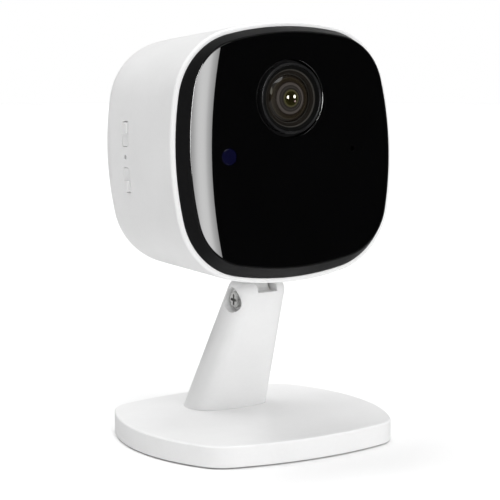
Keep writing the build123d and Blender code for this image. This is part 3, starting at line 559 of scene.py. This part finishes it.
def add_socket_contacts():
    """Gold contacts on both faces of the power socket's tongue."""
    place = centre_of("power_socket")
    mouth = extent_along("power_socket", place, -forward)[1]
    tongue_half = 0.35 * MM
    half = (0.12 * MM, 0.025 * MM, 1.6 * MM)
    contacts = 12
    contact_pitch = 0.5 * MM
    depth_below_mouth = 0.9 * MM
    blocks = []
    for face_side in (-1, 1):
        for contact in range(contacts):
            centre = (
                place
                + right * (contact - (contacts - 1) / 2) * contact_pitch
                + up * face_side * (tongue_half + half[1])
                - forward * (mouth - half[2] - depth_below_mouth)
            )
            blocks.append((centre, (right * half[0], up * half[1], forward * half[2]), 0))
    add_blocks("socket_contacts", blocks, [looks["gold"]])


def add_grille_cloth():
    """Fine black cloth between the speaker's gasket and the grille holes."""
    place = centre_of("speaker_gasket")
    behind = extent_along("speaker_gasket", place, -forward)[1]
    cloth_radius = 7.6 * MM
    cloth_thickness = 0.15 * MM
    gap = 0.05 * MM
    profile = [
        (0, -behind + gap),
        (cloth_radius, -behind + gap),
        (cloth_radius, -behind + gap + cloth_thickness),
        (0, -behind + gap + cloth_thickness),
    ]
    turned_piece("grille_cloth", profile, looks["grille_cloth"], place)


looks["ceramic"] = moulded_plastic("ceramic", (0.34, 0.22, 0.12), 0.45, 0.004 * MM, (0.4, 0.3, 0.2))
looks["gold"] = machined_metal("gold", (0.83, 0.62, 0.25), 0.25)
looks["grille_cloth"] = soft_rubber("grille_cloth", (0.012, 0.012, 0.013), 0.9)
add_chip_parts("main_board_parts", "main_board", forward, right, 2, 11, 2.6 * MM, (0, -11.5 * MM))
add_chip_parts("main_board_back_parts", "main_board", -forward, right, 3, 5, 2.6 * MM, (-9 * MM, -8 * MM))
add_chip_parts("front_board_parts", "front_board", forward, right, 2, 7, 2.4 * MM, (0, -12 * MM))
add_chip_parts("sensor_board_parts", "sensor_board", -forward, right, 3, 6, 2.4 * MM, (0, 0))
add_chip_parts("side_board_parts", "side_board", right, forward, 3, 3, 2.6 * MM, (0, 0))
add_socket_contacts()
add_grille_cloth()


# ---------------------------------------------------------------- camera
VIEW_AZIMUTH = -31.65
VIEW_ELEVATION = 9.08
VIEW_DISTANCE = 0.55
FOCAL_LENGTH = 154.6
SENSOR_WIDTH = 36.0
AIM_HEIGHT = 0.0486
AIM_SIDE = -0.0004


def direction(azimuth, elevation):
    """Unit vector from the object: azimuth 0 towards -Y, positive towards +X, in degrees."""
    a, e = math.radians(azimuth), math.radians(elevation)
    return Vector((math.sin(a) * math.cos(e), -math.cos(a) * math.cos(e), math.sin(e)))


def add_camera():
    """Long lens a little above the object, at the left of the head's face."""
    camera = bpy.data.cameras.new("camera")
    camera.lens = FOCAL_LENGTH
    camera.sensor_width = SENSOR_WIDTH
    eye = bpy.data.objects.new("camera", camera)
    scene.collection.objects.link(eye)
    aim = AIM_SIDE * direction(VIEW_AZIMUTH + 90, 0) + Vector((0, 0, AIM_HEIGHT))
    back = direction(VIEW_AZIMUTH, VIEW_ELEVATION)
    eye.location = aim + back * VIEW_DISTANCE
    eye.rotation_mode = "QUATERNION"
    eye.rotation_quaternion = (-back).to_track_quat("-Z", "Y")
    scene.camera = eye
    return eye


eye = add_camera()

# ---------------------------------------------------------------- floor, lights and surroundings
middle = (cad_box[0] + cad_box[1]) / 2
FLOOR_RADIUS = 0.95
FLOOR_CORNERS = 128


def add_floor():
    """Pale paper floor: a wide disc that shiny surfaces don't show."""
    mesh = bpy.data.meshes.new("floor")
    form = bmesh.new()
    bmesh.ops.create_circle(form, cap_ends=True, segments=FLOOR_CORNERS, radius=FLOOR_RADIUS)
    form.to_mesh(mesh)
    form.free()
    sheet = bpy.data.objects.new("floor", mesh)
    scene.collection.objects.link(sheet)
    paper = new_material("floor_paper")
    tree = paper.node_tree
    mottle = remap(tree, noise(tree, 30 * MM, 4.0), 0, 1)
    tone = mix_colour(tree, mottle, (0.90, 0.90, 0.90), (0.92, 0.92, 0.92))
    polish = remap(tree, noise(tree, 5 * MM, 3.0), 0.75, 0.85)
    finish_surface(paper, tone, polish, ((noise(tree, 1 * MM, 4.0), 0.01 * MM),))
    mesh.materials.append(paper)
    sheet.visible_glossy = False


def light_only(lamp, pieces, state):
    """Makes a light reach only these pieces (INCLUDE) or all but these (EXCLUDE)."""
    receivers = bpy.data.collections.new(lamp.name + "_receivers")
    for place, piece in enumerate(pieces):
        receivers.objects.link(piece)
        receivers.collection_objects[place].light_linking.link_state = state
    lamp.light_linking.receiver_collection = receivers


def add_soft_light(name, azimuth, elevation, spread, strength, mirrored):
    """Distant light as wide as a large softbox, so that it is the same all over the floor. Shiny
    surfaces show it only if it is mirrored; such a light leaves out the black bezel."""
    light = bpy.data.lights.new(name, "SUN")
    light.energy = strength
    light.angle = math.radians(spread)
    lamp = bpy.data.objects.new(name, light)
    scene.collection.objects.link(lamp)
    lamp.rotation_mode = "QUATERNION"
    lamp.rotation_quaternion = (-direction(azimuth, elevation)).to_track_quat("-Z", "Y")
    lamp.visible_camera = False
    lamp.visible_glossy = mirrored
    if mirrored:
        light_only(lamp, [nodes["front_bezel"]], "EXCLUDE")


def add_strip_card():
    """Narrow bright card off to the right, placed so that its mirror image lies along the left of
    the front panel. Its inner edge is an arc. The lens doesn't show it."""
    face_high = extent_along("front_panel", head_origin, forward)[1]
    face = head_origin + forward * face_high
    panel_half = extent_along("front_panel", head_origin, right)[1]
    inner_edge = -panel_half + 5.9 * MM
    arc_radius = 120 * MM
    arc_middle = -2.9 * MM
    half_height = 40 * MM
    overhang = 12 * MM
    outer_edge = -panel_half - overhang
    mirrored = eye.location - 2 * (eye.location - face).dot(forward) * forward
    card_distance = 0.55
    card_azimuth = 30
    card_normal = direction(card_azimuth, 0)
    card_brightness = 22.0
    # brightness across the card, from its outer edge (0) to its inner edge (1)
    profile = ((0.0, 0.3), (0.66, 0.32), (0.84, 0.62), (0.94, 0.42), (1.0, 0.27))
    card_point = middle + card_normal * card_distance

    def on_card(x, y):
        """Point of the card that the camera sees at a place on the panel."""
        spot = face + right * x + up * y
        ray = (spot - mirrored).normalized()
        return spot + ray * ((card_point - spot).dot(card_normal) / ray.dot(card_normal))

    rows, columns = 24, 8
    mesh = bpy.data.meshes.new("strip_card")
    form = bmesh.new()
    grid = []
    for row in range(rows + 1):
        y = half_height * (2 * row / rows - 1)
        bow = arc_radius - math.sqrt(arc_radius**2 - (y - arc_middle) ** 2)
        grid.append(
            [
                form.verts.new(on_card(outer_edge + (inner_edge + bow - outer_edge) * column / columns, y))
                for column in range(columns + 1)
            ]
        )
    for lower, upper in zip(grid, grid[1:]):
        for corners in zip(lower, lower[1:], upper[1:], upper):
            form.faces.new(corners)
    across = form.loops.layers.uv.new("across")
    for face_loop in (loop for f in form.faces for loop in f.loops):
        for row in grid:
            if face_loop.vert in row:
                face_loop[across].uv = (row.index(face_loop.vert) / columns, 0.5)
    form.to_mesh(mesh)
    form.free()
    card = bpy.data.objects.new("strip_card", mesh)
    scene.collection.objects.link(card)
    material = bpy.data.materials.new("strip_light")
    material.use_nodes = True
    tree = material.node_tree
    tree.nodes.clear()
    place = add_node(tree, "ShaderNodeUVMap", uv_map="across")
    split = add_node(tree, "ShaderNodeSeparateXYZ")
    tree.links.new(place.outputs["UV"], split.inputs["Vector"])
    ramp = add_node(tree, "ShaderNodeFloatCurve")
    curve = ramp.mapping.curves[0]
    curve.points[0].location = profile[0]
    curve.points[1].location = profile[-1]
    for spot in profile[1:-1]:
        curve.points.new(*spot)
    ramp.mapping.update()
    tree.links.new(split.outputs["X"], ramp.inputs["Value"])
    power = add_node(tree, "ShaderNodeMath", operation="MULTIPLY")
    power.inputs[1].default_value = card_brightness
    tree.links.new(ramp.outputs["Value"], power.inputs[0])
    glow = add_node(tree, "ShaderNodeEmission")
    tree.links.new(power.outputs["Value"], glow.inputs["Strength"])
    out = add_node(tree, "ShaderNodeOutputMaterial")
    tree.links.new(glow.outputs["Emission"], out.inputs["Surface"])
    mesh.materials.append(material)
    card.visible_camera = False
    card.visible_diffuse = False
    card.visible_shadow = False
    light_only(card, [scene.objects["front_lens_glass"]], "EXCLUDE")


def add_catch_light(name, azimuth, elevation, half_width, half_height, strength, colour, pieces):
    """Small oval light that shows only as a sharp highlight on the pieces named."""
    toward = direction(azimuth, elevation)
    side = toward.cross(Vector((0, 0, 1))).normalized()
    rise = side.cross(toward)
    centre = middle + toward * CATCH_LIGHT_DISTANCE
    mesh = bpy.data.meshes.new(name)
    form = bmesh.new()
    rim = []
    for step in range(CATCH_LIGHT_CORNERS):
        a = 2 * math.pi * step / CATCH_LIGHT_CORNERS
        offset = side * half_width * math.cos(a) + rise * half_height * math.sin(a)
        rim.append(form.verts.new(centre + offset))
    form.faces.new(rim)
    form.to_mesh(mesh)
    form.free()
    card = bpy.data.objects.new(name, mesh)
    scene.collection.objects.link(card)
    material = bpy.data.materials.new(name)
    material.use_nodes = True
    tree = material.node_tree
    tree.nodes.clear()
    glow = add_node(tree, "ShaderNodeEmission", Color=(*colour, 1), Strength=strength)
    out = add_node(tree, "ShaderNodeOutputMaterial")
    tree.links.new(glow.outputs["Emission"], out.inputs["Surface"])
    mesh.materials.append(material)
    card.visible_camera = False
    card.visible_diffuse = False
    card.visible_shadow = False
    light_only(card, [scene.objects[piece] for piece in pieces], "INCLUDE")


def add_world():
    """White surroundings for the eye, softer light on the object, and a black flag to the front
    right that the glossy face and the lens mirror."""
    studio = bpy.data.worlds.new("studio")
    studio.use_nodes = True
    scene.world = studio
    tree = studio.node_tree
    backdrop = tree.nodes["Background"]
    backdrop.inputs["Color"].default_value = (1, 1, 1, 1)
    backdrop.inputs["Strength"].default_value = 1.0
    place = add_node(tree, "ShaderNodeTexCoord")
    toward_flag = add_node(tree, "ShaderNodeVectorMath", operation="DOT_PRODUCT")
    toward_flag.inputs[1].default_value = direction(*FLAG_DIRECTION)
    tree.links.new(place.outputs["Generated"], toward_flag.inputs[0])
    inside, outside = (math.cos(math.radians(edge)) for edge in FLAG_EDGES)
    mirrored = add_node(tree, "ShaderNodeBackground")
    mirrored.inputs["Color"].default_value = (1, 1, 1, 1)
    tree.links.new(
        remap(tree, toward_flag.outputs["Value"], MIRRORED_LIGHT, FLAG_LIGHT, outside, inside),
        mirrored.inputs["Strength"],
    )
    ambient = add_node(tree, "ShaderNodeBackground", Strength=AMBIENT_LIGHT)
    ambient.inputs["Color"].default_value = (1, 1, 1, 1)
    ray = add_node(tree, "ShaderNodeLightPath")
    lit = add_node(tree, "ShaderNodeMixShader")
    tree.links.new(ray.outputs["Is Glossy Ray"], lit.inputs["Fac"])
    tree.links.new(ambient.outputs["Background"], lit.inputs[1])
    tree.links.new(mirrored.outputs["Background"], lit.inputs[2])
    shown = add_node(tree, "ShaderNodeMixShader")
    tree.links.new(ray.outputs["Is Camera Ray"], shown.inputs["Fac"])
    tree.links.new(lit.outputs["Shader"], shown.inputs[1])
    tree.links.new(backdrop.outputs["Background"], shown.inputs[2])
    tree.links.new(shown.outputs["Shader"], tree.nodes["World Output"].inputs["Surface"])


AMBIENT_LIGHT = 0.39
MIRRORED_LIGHT = 0.35
# The black flag: its azimuth and elevation, where it is full and where it ends, and its faint light
FLAG_DIRECTION = (38, 4)
FLAG_EDGES = (40, 55)
FLAG_LIGHT = 0.015
# Soft lights all round: (azimuth, elevation, spread, strength, mirrored)
SOFT_LIGHTS = {
    "front": (0, 20, 50, 1.17, False),
    "overhead": (0, 62, 40, 0.85, True),
    "behind": (180, 65, 25, 0.6, True),
    "behind_left": (-130, 60, 25, 0.85, True),
    "behind_right": (130, 60, 25, 0.5, True),
    "front_right": (60, 25, 50, 0.35, False),
}
CATCH_LIGHT_DISTANCE = 0.6
CATCH_LIGHT_CORNERS = 48
WARM = (1.0, 0.96, 0.82)
# Highlights on the lens and round its opening:
# (azimuth, elevation, half width, half height, strength, colour, pieces lit)
CATCH_LIGHTS = {
    "highlight_left": (23, 8.5, 38 * MM, 36 * MM, 40.0, WARM, ["front_lens_glass"]),
    "highlight_right": (41, 8, 36 * MM, 34 * MM, 36.0, WARM, ["front_lens_glass"]),
    "highlight_small": (42, -1, 22 * MM, 18 * MM, 10.0, (1.0, 0.72, 0.7), ["front_lens_glass"]),
    "crescent_light": (-22, 27, 55 * MM, 130 * MM, 2.2, WARM, ["front_lens_glass"]),
    "edge_light": (-30, 22, 150 * MM, 260 * MM, 60.0, (1.0, 1.0, 1.0), ["front_panel", "lens_ring"]),
    "screw_light": (-148, -8, 260 * MM, 260 * MM, 0.8, (1.0, 1.0, 1.0), ["pivot_screw"]),
}
add_floor()
for name, setting in SOFT_LIGHTS.items():
    add_soft_light(name, *setting)
add_strip_card()
for name, setting in CATCH_LIGHTS.items():
    add_catch_light(name, *setting)
add_world()
scene.view_settings.view_transform = "Standard"
